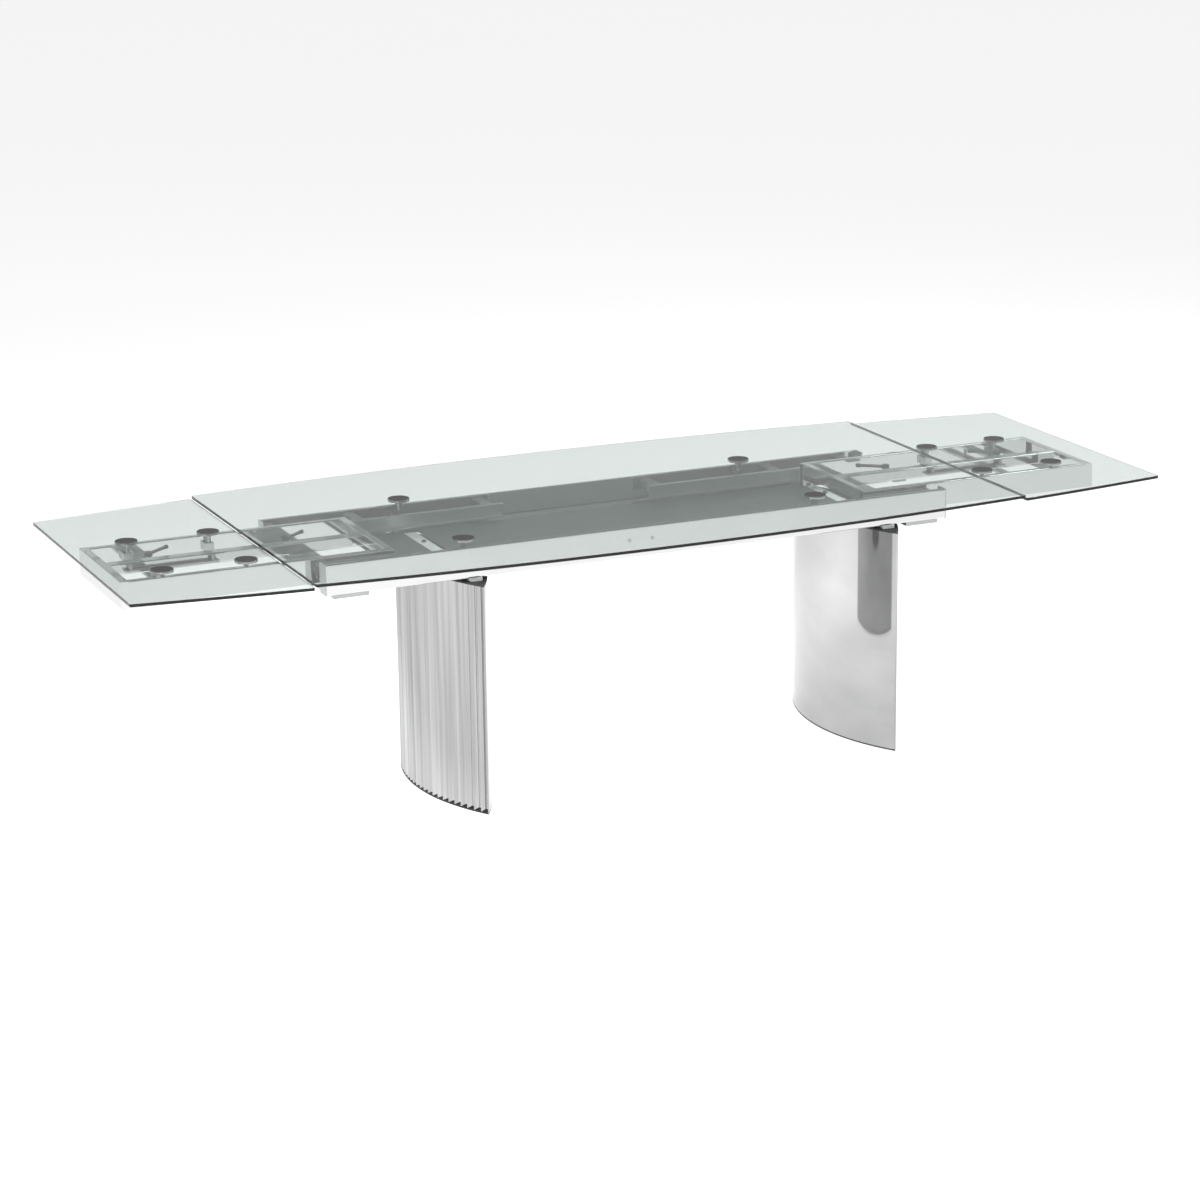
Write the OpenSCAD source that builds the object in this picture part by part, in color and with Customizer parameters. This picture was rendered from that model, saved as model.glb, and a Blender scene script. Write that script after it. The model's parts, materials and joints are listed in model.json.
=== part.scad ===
// Extendable dining table: a boat-shaped glass top on a polished frame and two
// lens-shaped columns. A glass extension at each end slides under the main
// glass and is raised flush with it by a quick-lift screw.
// Origin: on the floor under the middle of the top. +X runs along the length,
// +Z is up and -Y is the side that the sitter's view comes from.

/* [Glass top] */
// Height of the main glass surface above the floor
table_h = 760; // [700:5:900]
// Thickness of all three glass panels
glass_t = 8; // [6:1:15]
// Length of the main glass between its two seams
main_len = 2068; // [1960:4:2600]
// Length of each extension glass
leaf_len = 466; // [380:2:480]
// Open seam between the main glass and an extension
seam_gap = 2; // [1:0.5:4]
// Width of the top at its middle
mid_w = 1144; // [900:4:1400]
// How much narrower each long side is at the ends than at the middle
side_sweep = 115; // [40:5:160]
// Clear height between a lowered extension and the main glass
stow_gap = 0.4; // [0.3:0.1:2]
// How far a stowed extension sits back from the edge of the main glass
stow_inset = 4; // [0:1:20]

/* [Glass supports] */
// Radius of the round support discs
disc_r = 31; // [20:1:34]
// Thickness of a support disc
disc_t = 6; // [4:1:10]
// Height of the cup below a disc
cup_h = 10; // [6:1:14]
// Thickness of the clear bonding pad on a disc
pad_t = 1.5; // [1:0.5:3]
// Radius of a main support post
post_r = 9; // [6:1:11]
// Distance of the main posts from the middle, across the table
post_y = 240; // [236:1:242]
// Gap between the main discs and a stowed extension
disc_clear = 9; // [4:1:40]
// Radius of an extension's lifting post
lift_post_r = 7; // [5:1:9]
// Distance from the seam to the inner lifting posts
lift_post_in = 65; // [55:1:100]
// Distance from the inner to the outer lifting posts
lift_post_step = 227; // [180:1:260]
// Distance of the lifting posts from the middle, across the table
lift_post_y = 161; // [150:1:162]

/* [Main frame] */
// Free height between the frame and the discs of a lowered extension
frame_gap = 6.1; // [3:0.1:20]
// Height of the two long aprons
apron_h = 78; // [74:1:120]
// Half the width of the frame, to the outer faces of the aprons
frame_half_w = 270; // [270:2:320]
// Distance from an apron's end to the seam in the top
frame_inset = 114; // [80:2:160]
// Wall of the aprons
apron_t = 3; // [2:0.5:5]
// Width of an apron's top flange
top_flange_w = 12; // [8:1:16]
// Width of an apron's bottom flange
bottom_flange_w = 44; // [30:1:60]
// Thickness of an apron's bottom flange
flange_t = 2; // [1.5:0.5:4]
// Thickness of the cross members below the aprons
beam_t = 12; // [8:1:20]
// Width of the two end cross members
end_beam_w = 100; // [60:5:120]
// Distance from an apron's end to the end cross member
end_beam_inset = 20; // [20:5:60]
// Thickness of the bottom trays
tray_t = 2; // [1:0.5:3]
// Wall of the rectangular tubes
tube_wall = 2; // [1.5:0.5:3]

/* [Slides] */
// Height of the moving runner bars
runner_h = 30; // [20:1:36]
// Length of the moving runner bars
runner_len = 205; // [150:5:215]
// Thickness of a runner channel's web and lips
channel_t = 4; // [3:0.5:5]
// Running clearance around a moving runner
run_clear = 0.5; // [0.3:0.1:1]

/* [Extension frames] */
// Half the width of an extension frame
leaf_half_w = 192; // [190:1:196]
// Height of the extension frame rails
leaf_rail_h = 69; // [60:1:69]
// Thickness of the side rails
side_rail_t = 20; // [15:1:22]
// Thickness of the end and inner rails
end_rail_t = 22; // [16:1:30]
// Width of the middle rail
mid_rail_w = 36; // [24:2:50]
// Height of the middle rail
mid_rail_h = 30; // [20:1:34]
// Length of an extended frame that stays inside the aprons
leaf_overlap = 220; // [210:5:240]
// Distance from the glass end to the frame's end rail
leaf_end_inset = 53; // [40:1:90]

/* [Levers] */
// Length of a lever from its pivot
lever_len = 88; // [60:2:88]
// Radius of a lever rod
lever_r = 4.5; // [3:0.5:6]
// Rest angle of a lever from the table's long axis
lever_rest = 37; // [30:1:45]
// Distance of the lever pivots from the middle, across the table
lever_y = 80; // [78:1:80]
// Radius of the lifting screw
screw_r = 5; // [4:0.5:6]
// Radial running clearance of posts and screws in their bores
bore_clear = 0.08; // [0.05:0.01:0.1]

/* [Legs] */
// Half the width of a leg, across the table
leg_half_w = 315; // [280:5:360]
// Bulge of each leg face from the leg's centre plane
leg_sagitta = 92; // [60:2:110]
// Place of the left leg's centre plane along the table
left_leg_x = -498; // [-620:2:-400]
// Place of the right leg's centre plane along the table
right_leg_x = 745; // [400:5:760]
// Number of pleats on a leg's outer face
pleat_n = 27; // [15:1:35]
// Depth of a pleat
pleat_d = 13; // [6:1:16]
// Sheet thickness of the leg skins
skin_t = 1.5; // [1:0.5:3]
// Wall of the hollow leg core
core_wall = 8; // [5:1:12]
// Thickness of the plates that close a leg
leg_plate_t = 4; // [3:1:8]
// Thickness of the floor glides
glide_t = 2; // [2:1:6]
// Width of the flat bar that joins a leg to the frame
mount_w = 36; // [30:2:60]

/* [Hidden] */

left = -1;
right = 1;
front = -1;
rear = 1;
eps = 0.01;

// Glass
main_half = main_len / 2;
leaf_in = main_half + seam_gap;
top_half = leaf_in + leaf_len;
boat_r = (top_half * top_half + side_sweep * side_sweep) / (2 * side_sweep);
boat_shift = boat_r - mid_w / 2;
lift = glass_t + stow_gap;
glass_bottom = table_h - glass_t;
leaf_top_z = table_h - lift;
leaf_bottom_z = leaf_top_z - glass_t;
travel = leaf_len + seam_gap + stow_inset;

// Heights
frame_top = leaf_bottom_z - pad_t - disc_t - frame_gap;
frame_bottom = frame_top - apron_h;
leg_top = frame_bottom - beam_t;
tray_z = frame_bottom + flange_t;
leaf_rail_z = frame_top - leaf_rail_h;

// Main posts and their brackets
leaf_cup_h = min(cup_h, frame_gap - 0.6);
post_x = leaf_in - travel - disc_clear - disc_r;
bracket_t = 6;
bracket_z = frame_bottom + 18;
bracket_w = 36;
bolt_r = 4;
bolt_clear = 0.2;
bolt_head_r = 7;
bolt_head_t = 5;

// Aprons
apron_half = main_half - frame_inset;
apron_in_y = frame_half_w - apron_t;
screw_head_r = 5;
screw_head_t = 2;
apron_screw_x = [-54, 14];
end_cap_t = 3;

// Cross members
end_beam_out = apron_half - end_beam_inset;
end_beam_in = end_beam_out - end_beam_w;
beam_half_w = frame_half_w - 8;
tray_half_w = frame_half_w - bottom_flange_w + 10;
tray_clear = 4;
side_tray_len = 156;

// Slides: the moving runner bar sits in a channel that is open inwards
runner_reach = 16;
runner_z = frame_top - 52;
channel_in_y = leaf_half_w + 4;
channel_web_y = leaf_half_w + runner_reach + run_clear;
channel_out_y = channel_web_y + channel_t;
runner_in_x = apron_half - leaf_overlap + 2;
channel_in_x = runner_in_x - travel - 4;
channel_out_x = apron_half - 5;
block_w = 30;
block_h = 26;

// Extension frames
leaf_frame_in = apron_half - leaf_overlap;
leaf_frame_out = top_half - leaf_end_inset;
side_rail_in_y = leaf_half_w - side_rail_t;
lift_x_in = leaf_in + lift_post_in;
lift_x_out = lift_x_in + lift_post_step;
guide_w = 24;
guide_h = 22;
guide_z = frame_top - 40;

// Lift
yoke_t = 6;
yoke_z = frame_bottom + 14;
yoke_bar_w = 18;
yoke_margin = 16;
screw_x = lift_x_out - 36;
bridge_w = 30;
bridge_t = 6;
bridge_z = frame_top - mid_rail_h;
screw_bottom = yoke_z - 6;
lever_z = frame_top - 8;
hub_r = 11;
hub_t = 12;
knob_r = lever_r + 1.5;
knob_len = 12;

// Slide locks
lock_x = apron_half - 5;
lock_y = lever_y - 10;
pillar_r = 8;
foot_t = 4;
foot_w = 40;
foot_margin = 16;

// Legs
leg_r = (leg_half_w * leg_half_w + leg_sagitta * leg_sagitta) / (2 * leg_sagitta);
leg_off = leg_r - leg_sagitta;
leg_angle = asin(leg_half_w / leg_r);
skin_z = glide_t + leg_plate_t;
skin_top = leg_top - leg_plate_t;
pleat_wall = skin_t * 1.4;
glide_r = 14;

steel = [0.80, 0.82, 0.83];
mirror_steel = [0.90, 0.91, 0.92];
glass_tint = [0.78, 0.90, 0.87, 0.35];
edge_black = [0.08, 0.08, 0.08];
dark_paint = [0.20, 0.22, 0.22];

// Half the width of the top at a place along its length
function side_y(x) = sqrt(boat_r * boat_r - x * x) - boat_shift;

// Outline of a stretch of the top: two shallow arcs cut square at the ends
module boat_outline(x0, x1, steps) {
    xs = [for (i = [0 : steps]) x0 + (x1 - x0) * i / steps];
    polygon(concat(
        [for (x = xs) [x, -side_y(x)]],
        [for (i = [steps : -1 : 0]) [xs[i], side_y(xs[i])]]
    ));
}

// Places a copy on each side of the table's long axis
module both_sides() {
    for (side = [front, rear])
        scale([1, side, 1]) children();
}

// Turns a right-hand piece into a left-hand one
module at_end(end) {
    if (end == left)
        mirror([1, 0, 0]) children();
    else
        children();
}

// Disc with a tapered cup on a straight post, from z0 to the pad
module glass_post(z0, disc_top, r, cup) {
    rotate_extrude($fn = 64)
        polygon([
            [0, z0], [r, z0], [r, disc_top - disc_t - cup],
            [disc_r - 9, disc_top - disc_t - 0.3 * cup], [disc_r - 3, disc_top - disc_t],
            [disc_r, disc_top - disc_t], [disc_r, disc_top], [0, disc_top]
        ]);
}

module pad(z0) {
    translate([0, 0, z0]) cylinder(r = disc_r - 1, h = pad_t, $fn = 64);
}

module at_main_posts() {
    for (end = [left, right], side = [front, rear])
        translate([end * post_x, side * post_y, 0]) children();
}

module at_lift_posts() {
    for (x = [lift_x_in, lift_x_out], side = [front, rear])
        translate([x, side * lift_post_y, 0]) children();
}

// Rectangular tubes, open at both ends, along the table and across it
module tube_along(size) {
    difference() {
        cube(size);
        translate([-1, tube_wall, tube_wall])
            cube([size[0] + 2, size[1] - 2 * tube_wall, size[2] - 2 * tube_wall]);
    }
}

module tube_across(size) {
    difference() {
        cube(size);
        translate([tube_wall, -1, tube_wall])
            cube([size[0] - 2 * tube_wall, size[1] + 2, size[2] - 2 * tube_wall]);
    }
}

// ---- Glass and its supports ----

module main_glass() {
    color(glass_tint)
        translate([0, 0, glass_bottom])
            linear_extrude(glass_t) boat_outline(-main_half, main_half, 36);
}

module main_posts() {
    color(mirror_steel)
        at_main_posts() glass_post(bracket_z + bracket_t, glass_bottom - pad_t, post_r, cup_h);
}

module main_pads() {
    color(glass_tint)
        at_main_posts() pad(glass_bottom - pad_t);
}

module post_brackets() {
    color(steel)
        both_sides()
            for (end = [left, right])
                translate([end * post_x - bracket_w / 2, 0, bracket_z])
                    difference() {
                        union() {
                            translate([0, post_y - bracket_w / 2, 0])
                                cube([bracket_w, apron_in_y - post_y + bracket_w / 2, bracket_t]);
                            translate([0, apron_in_y - bracket_t, 0])
                                cube([bracket_w, bracket_t, bracket_w]);
                        }
                        translate([bracket_w / 2, post_y, -1])
                            cylinder(r = bolt_r + bolt_clear, h = bracket_t + 2, $fn = 32);
                    }
}

module post_bolts() {
    color(edge_black)
        at_main_posts()
            translate([0, 0, bracket_z - bolt_head_t]) {
                cylinder(r = bolt_head_r, h = bolt_head_t, $fn = 6);
                cylinder(r = bolt_r, h = bolt_head_t + bracket_t, $fn = 32);
            }
}

// ---- Main frame ----

// C-shaped section, open towards the middle of the table
module apron_section() {
    inner = frame_half_w - bottom_flange_w;
    polygon([
        [inner, frame_bottom], [frame_half_w, frame_bottom], [frame_half_w, frame_top],
        [frame_half_w - top_flange_w, frame_top], [frame_half_w - top_flange_w, frame_top - apron_t],
        [apron_in_y, frame_top - apron_t], [apron_in_y, frame_bottom + flange_t],
        [inner, frame_bottom + flange_t]
    ]);
}

module apron(side) {
    scale([1, side, 1])
        translate([-apron_half, 0, 0])
            rotate([90, 0, 90]) linear_extrude(2 * apron_half) apron_section();
}

module front_apron() {
    color(mirror_steel) apron(front);
}

module rear_apron() {
    color(mirror_steel) apron(rear);
}

module apron_screws() {
    color(steel)
        for (side = [front, rear], x = apron_screw_x)
            translate([x, side * (frame_half_w + screw_head_t / 2), frame_top - 35])
                rotate([90, 0, 0]) cylinder(r = screw_head_r, h = screw_head_t, center = true, $fn = 32);
}

// Caps that close the open ends of the aprons
module apron_end_caps() {
    color(steel)
        for (end = [left, right])
            at_end(end)
                both_sides()
                    translate([apron_half, frame_half_w - bottom_flange_w, frame_bottom])
                        cube([end_cap_t, bottom_flange_w, apron_h]);
}

// Shallow plates that close the frame from below, between the leg channels
module bottom_trays() {
    reach = mount_w / 2 + tray_clear;
    spans = [
        [left_leg_x - reach - side_tray_len, left_leg_x - reach],
        [left_leg_x + reach, right_leg_x - reach]
    ];
    color(dark_paint)
        for (s = spans)
            translate([s[0], -tray_half_w, tray_z])
                cube([s[1] - s[0], 2 * tray_half_w, tray_t]);
}

module end_beams() {
    color(steel)
        for (end = [left, right])
            at_end(end)
                translate([end_beam_in, -beam_half_w, leg_top])
                    cube([end_beam_w, 2 * beam_half_w, beam_t]);
}

module leg_mounts() {
    color(steel)
        for (x = [left_leg_x, right_leg_x])
            translate([x - mount_w / 2, -beam_half_w, leg_top])
                cube([mount_w, 2 * beam_half_w, beam_t]);
}

module mount_bolts() {
    color(edge_black)
        for (x = [left_leg_x, right_leg_x], y = [-120, 120])
            translate([x, y, frame_bottom])
                cylinder(r = bolt_head_r, h = bolt_head_t, $fn = 6);
}

// ---- Slides ----

module channel_section() {
    lip = runner_z - run_clear;
    z0 = lip - channel_t;
    z1 = lip + runner_h + 2 * run_clear;
    difference() {
        translate([channel_in_y, z0])
            square([channel_out_y - channel_in_y, z1 + channel_t - z0]);
        translate([channel_in_y - 1, lip])
            square([channel_web_y - channel_in_y + 1, z1 - lip]);
    }
}

module fixed_runners(side) {
    color(steel)
        for (end = [left, right])
            at_end(end)
                scale([1, side, 1])
                    translate([channel_in_x, 0, 0])
                        rotate([90, 0, 90]) linear_extrude(channel_out_x - channel_in_x) channel_section();
}

module front_fixed_runners() fixed_runners(front);

module rear_fixed_runners() fixed_runners(rear);

// Blocks that hold the channels off the aprons
module runner_blocks() {
    positions = [channel_in_x + 20, (channel_in_x + channel_out_x) / 2 + 60, channel_out_x - block_w - 10];
    color(steel)
        for (end = [left, right], x = positions)
            at_end(end)
                both_sides()
                    translate([x, channel_out_y, runner_z + 2])
                        cube([block_w, apron_in_y - channel_out_y, block_h]);
}

// ---- Legs ----

// Lens between two equal arcs, each pulled in by its own amount
module lens(pull_out, pull_in) {
    intersection() {
        translate([-leg_off, 0]) circle(leg_r - pull_out, $fn = 720);
        translate([leg_off, 0]) circle(leg_r - pull_in, $fn = 720);
    }
}

function on_outer_arc(angle, r) = [r * cos(angle) - leg_off, r * sin(angle)];

// Folded sheet: ridges on the outer arc and valleys one pleat depth inside it
function pleat_line(pull) = [
    for (i = [0 : 2 * pleat_n])
        on_outer_arc(-leg_angle + i * leg_angle / pleat_n, leg_r - pull - (i % 2) * pleat_d)
];

function reversed(list) = [for (i = [len(list) - 1 : -1 : 0]) list[i]];

// The pleated face looks away from the middle of the table
module at_leg(end) {
    if (end == left)
        translate([left_leg_x, 0, 0]) mirror([1, 0, 0]) children();
    else
        translate([right_leg_x, 0, 0]) children();
}

module pleated_skin(end) {
    color(mirror_steel)
        at_leg(end)
            translate([0, 0, skin_z])
                linear_extrude(skin_top - skin_z)
                    intersection() {
                        polygon(concat(pleat_line(0), reversed(pleat_line(pleat_wall))));
                        translate([leg_off, 0]) circle(leg_r - skin_t, $fn = 720);
                    }
}

module mirror_skin(end) {
    color(mirror_steel)
        at_leg(end)
            translate([0, 0, skin_z])
                linear_extrude(skin_top - skin_z)
                    difference() {
                        lens(0, 0);
                        translate([leg_off, 0]) circle(leg_r - skin_t, $fn = 720);
                    }
}

module leg_core(end) {
    back = pleat_d + pleat_wall;
    color(steel)
        at_leg(end)
            translate([0, 0, skin_z])
                linear_extrude(skin_top - skin_z)
                    difference() {
                        lens(back, skin_t);
                        lens(back + core_wall, skin_t + core_wall);
                    }
}

module leg_plate(end, z) {
    color(dark_paint)
        at_leg(end)
            translate([0, 0, z]) linear_extrude(leg_plate_t) lens(0, 0);
}

module leg_glides(end) {
    spots = [
        [0, -leg_half_w * 0.8], [0, leg_half_w * 0.8],
        [-leg_sagitta + 2 * glide_r, 0], [leg_sagitta - 2 * glide_r, 0]
    ];
    color(edge_black)
        at_leg(end)
            for (s = spots)
                translate([s[0], s[1], 0]) cylinder(r = glide_r, h = glide_t, $fn = 32);
}

module left_leg_pleated_skin() pleated_skin(left);

module right_leg_pleated_skin() pleated_skin(right);

module left_leg_mirror_skin() mirror_skin(left);

module right_leg_mirror_skin() mirror_skin(right);

module left_leg_core() leg_core(left);

module right_leg_core() leg_core(right);

module left_leg_base_plate() leg_plate(left, glide_t);

module right_leg_base_plate() leg_plate(right, glide_t);

module left_leg_top_plate() leg_plate(left, skin_top);

module right_leg_top_plate() leg_plate(right, skin_top);

module left_leg_glides() leg_glides(left);

module right_leg_glides() leg_glides(right);

// ---- Slide locks ----

// Arm under the middle rail with a pin for the lock lever
module lock_pillar(end) {
    arm_z = frame_top - mid_rail_h - foot_t;
    color(steel)
        at_end(end) {
            translate([lock_x - foot_w / 2, -mid_rail_w / 2, arm_z])
                cube([foot_w, mid_rail_w / 2 + lock_y + foot_margin, foot_t]);
            translate([lock_x, lock_y, arm_z])
                cylinder(r = pillar_r, h = lever_z - hub_t / 2 - 0.3 - arm_z, $fn = 48);
            translate([lock_x, lock_y, arm_z])
                cylinder(r = screw_r, h = lever_z + hub_t / 2 - arm_z, $fn = 48);
        }
}

// Straight rod with a thicker end, pointing inwards and to the rear
module lever_rod(start) {
    rotate([0, 0, 180 - lever_rest])
        rotate([0, 90, 0]) {
            translate([0, 0, start]) cylinder(r = lever_r, h = lever_len - start, $fn = 32);
            translate([0, 0, lever_len - knob_len]) cylinder(r = knob_r, h = knob_len, $fn = 32);
        }
}

module lock_lever(end) {
    color(edge_black)
        at_end(end)
            translate([lock_x, lock_y, lever_z])
                difference() {
                    union() {
                        cylinder(r = hub_r, h = hub_t, center = true, $fn = 48);
                        lever_rod(hub_r - 2);
                    }
                    cylinder(r = screw_r + bore_clear, h = hub_t + 2, center = true, $fn = 48);
                }
}

module left_lock_pillar() lock_pillar(left);

module right_lock_pillar() lock_pillar(right);

module left_lock_lever() lock_lever(left);

module right_lock_lever() lock_lever(right);

// ---- Extension frames ----

module side_rails(end) {
    color(mirror_steel)
        at_end(end)
            both_sides()
                translate([leaf_frame_in, side_rail_in_y, leaf_rail_z])
                    tube_along([leaf_frame_out - end_rail_t - leaf_frame_in, side_rail_t, leaf_rail_h]);
}

// Folded channel, open towards the middle of the table and closed at its ends
module end_rail(end) {
    color(mirror_steel)
        at_end(end)
            translate([leaf_frame_out - end_rail_t, -leaf_half_w, leaf_rail_z])
                difference() {
                    cube([end_rail_t, 2 * leaf_half_w, leaf_rail_h]);
                    translate([-1, tube_wall, tube_wall])
                        cube([
                            end_rail_t - tube_wall + 1,
                            2 * leaf_half_w - 2 * tube_wall,
                            leaf_rail_h - 2 * tube_wall
                        ]);
                }
}

module inner_rail(end) {
    color(mirror_steel)
        at_end(end)
            translate([leaf_frame_in, -side_rail_in_y, frame_top - mid_rail_h])
                tube_across([end_rail_t, 2 * side_rail_in_y, mid_rail_h]);
}

module middle_rail(end) {
    color(mirror_steel)
        at_end(end)
            translate([leaf_frame_in + end_rail_t, -mid_rail_w / 2, frame_top - mid_rail_h])
                tube_along([leaf_frame_out - leaf_frame_in - 2 * end_rail_t, mid_rail_w, mid_rail_h]);
}

module moving_runners(end) {
    color(steel)
        at_end(end)
            both_sides()
                translate([runner_in_x, leaf_half_w, runner_z])
                    cube([runner_len, runner_reach - run_clear, runner_h]);
}

// Bored blocks on the side rails that keep the lifting posts upright
module post_guides(end) {
    color(steel)
        at_end(end)
            both_sides()
                for (x = [lift_x_in, lift_x_out])
                    difference() {
                        translate([x - guide_w / 2, lift_post_y - guide_w / 2, guide_z])
                            cube([guide_w, side_rail_in_y - lift_post_y + guide_w / 2, guide_h]);
                        translate([x, lift_post_y, guide_z - 1])
                            cylinder(r = lift_post_r + bore_clear, h = guide_h + 2, $fn = 64);
                    }
}

// Plate from the middle rail to the rear side rail that carries the screw
module screw_bridge(end) {
    color(steel)
        at_end(end)
            difference() {
                translate([screw_x - bridge_w / 2, mid_rail_w / 2, bridge_z])
                    cube([bridge_w, side_rail_in_y - mid_rail_w / 2, bridge_t]);
                translate([screw_x, lever_y, bridge_z - 1])
                    cylinder(r = screw_r + bore_clear, h = bridge_t + 2, $fn = 48);
            }
}

module left_side_rails() side_rails(left);

module right_side_rails() side_rails(right);

module left_end_rail() end_rail(left);

module right_end_rail() end_rail(right);

module left_inner_rail() inner_rail(left);

module right_inner_rail() inner_rail(right);

module left_middle_rail() middle_rail(left);

module right_middle_rail() middle_rail(right);

module left_moving_runners() moving_runners(left);

module right_moving_runners() moving_runners(right);

module left_post_guides() post_guides(left);

module right_post_guides() post_guides(right);

module left_screw_bridge() screw_bridge(left);

module right_screw_bridge() screw_bridge(right);

// ---- Extension tops, drawn lowered ----

module leaf_glass(end) {
    color(glass_tint)
        at_end(end)
            translate([0, 0, leaf_bottom_z]) linear_extrude(glass_t) boat_outline(leaf_in, top_half, 8);
}

module leaf_posts(end) {
    color(mirror_steel)
        at_end(end)
            at_lift_posts() glass_post(yoke_z + yoke_t, leaf_bottom_z - pad_t, lift_post_r, leaf_cup_h);
}

module leaf_pads(end) {
    color(glass_tint)
        at_end(end)
            at_lift_posts() pad(leaf_bottom_z - pad_t);
}

// H-shaped plate that ties the four posts, with the screw's nut bore
module lift_yoke(end) {
    bar_y = lift_post_y - yoke_bar_w / 2;
    color(steel)
        at_end(end)
            translate([0, 0, yoke_z])
                difference() {
                    union() {
                        both_sides()
                            translate([lift_x_in - yoke_margin, bar_y, 0])
                                cube([lift_post_step + 2 * yoke_margin, yoke_bar_w, yoke_t]);
                        translate([screw_x - bridge_w / 2, -bar_y - eps, 0])
                            cube([bridge_w, 2 * bar_y + 2 * eps, yoke_t]);
                    }
                    translate([screw_x, lever_y, -1])
                        cylinder(r = screw_r + bore_clear, h = yoke_t + 2, $fn = 48);
                }
}

module lift_screw(end) {
    color(steel)
        at_end(end)
            translate([screw_x, lever_y, screw_bottom])
                cylinder(r = screw_r, h = lever_z - hub_t / 2 - screw_bottom, $fn = 48);
}

module lift_lever(end) {
    color(edge_black)
        at_end(end)
            translate([screw_x, lever_y, lever_z]) {
                cylinder(r = hub_r, h = hub_t, center = true, $fn = 48);
                lever_rod(hub_r - 2);
            }
}

module left_leaf_glass() leaf_glass(left);

module right_leaf_glass() leaf_glass(right);

module left_leaf_posts() leaf_posts(left);

module right_leaf_posts() leaf_posts(right);

module left_leaf_pads() leaf_pads(left);

module right_leaf_pads() leaf_pads(right);

module left_lift_yoke() lift_yoke(left);

module right_lift_yoke() lift_yoke(right);

module left_lift_screw() lift_screw(left);

module right_lift_screw() lift_screw(right);

module left_lift_lever() lift_lever(left);

module right_lift_lever() lift_lever(right);

main_glass();
main_posts();
main_pads();
post_brackets();
post_bolts();
front_apron();
rear_apron();
apron_screws();
apron_end_caps();
bottom_trays();
end_beams();
leg_mounts();
mount_bolts();
front_fixed_runners();
rear_fixed_runners();
runner_blocks();
left_leg_pleated_skin();
right_leg_pleated_skin();
left_leg_mirror_skin();
right_leg_mirror_skin();
left_leg_core();
right_leg_core();
left_leg_base_plate();
right_leg_base_plate();
left_leg_top_plate();
right_leg_top_plate();
left_leg_glides();
right_leg_glides();
left_lock_pillar();
right_lock_pillar();
left_lock_lever();
right_lock_lever();
left_side_rails();
right_side_rails();
left_end_rail();
right_end_rail();
left_inner_rail();
right_inner_rail();
left_middle_rail();
right_middle_rail();
left_moving_runners();
right_moving_runners();
left_post_guides();
right_post_guides();
left_screw_bridge();
right_screw_bridge();
left_leaf_glass();
right_leaf_glass();
left_leaf_posts();
right_leaf_posts();
left_leaf_pads();
right_leaf_pads();
left_lift_yoke();
right_lift_yoke();
left_lift_screw();
right_lift_screw();
left_lift_lever();
right_lift_lever();
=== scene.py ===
"""Looks of an extendable glass dining table on two lens-shaped steel columns.

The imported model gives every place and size. This script dresses its nodes, replaces
those whose surfaces must be smoother than a tessellated solid, and sets up the studio.
"""
import json
import logging
import math
from dataclasses import dataclass, field
from enum import Enum
from typing import Sequence

import bmesh
import bpy
import numpy as np
from mathutils import Matrix, Vector


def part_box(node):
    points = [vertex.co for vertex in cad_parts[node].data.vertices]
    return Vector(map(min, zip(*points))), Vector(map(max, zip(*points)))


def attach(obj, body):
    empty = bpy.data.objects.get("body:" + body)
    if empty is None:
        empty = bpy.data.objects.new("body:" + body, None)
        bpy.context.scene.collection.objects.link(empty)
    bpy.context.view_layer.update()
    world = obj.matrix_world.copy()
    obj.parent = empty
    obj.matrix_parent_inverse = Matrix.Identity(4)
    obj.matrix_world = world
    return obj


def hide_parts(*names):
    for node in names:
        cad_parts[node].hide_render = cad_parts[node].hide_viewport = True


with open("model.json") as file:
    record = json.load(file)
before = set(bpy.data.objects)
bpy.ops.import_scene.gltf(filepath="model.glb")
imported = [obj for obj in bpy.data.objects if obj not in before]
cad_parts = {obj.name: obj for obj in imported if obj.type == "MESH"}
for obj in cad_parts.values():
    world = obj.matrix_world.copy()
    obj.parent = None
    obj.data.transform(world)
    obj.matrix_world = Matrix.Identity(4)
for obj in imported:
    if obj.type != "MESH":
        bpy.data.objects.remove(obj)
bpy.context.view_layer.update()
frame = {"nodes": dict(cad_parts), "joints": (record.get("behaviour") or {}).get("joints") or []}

log = logging.getLogger("dining_table")

Array = np.ndarray
Colour = tuple[float, float, float]

LEAST_ROUND = 0.0004
"""Radius left on the inner edges of a tube whose wall is thicker than its rounding."""


class End(Enum):
    """The two ends of the table, by the sign of their X."""

    LEFT = -1
    RIGHT = 1

    @property
    def word(self) -> str:
        """The word that the end's nodes and bodies start with."""
        return self.name.lower()


class Along(Enum):
    """The row axis that a bar runs along."""

    LENGTH = 0
    WIDTH = 1


# ---------------------------------------------------------------- shader maths


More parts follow.
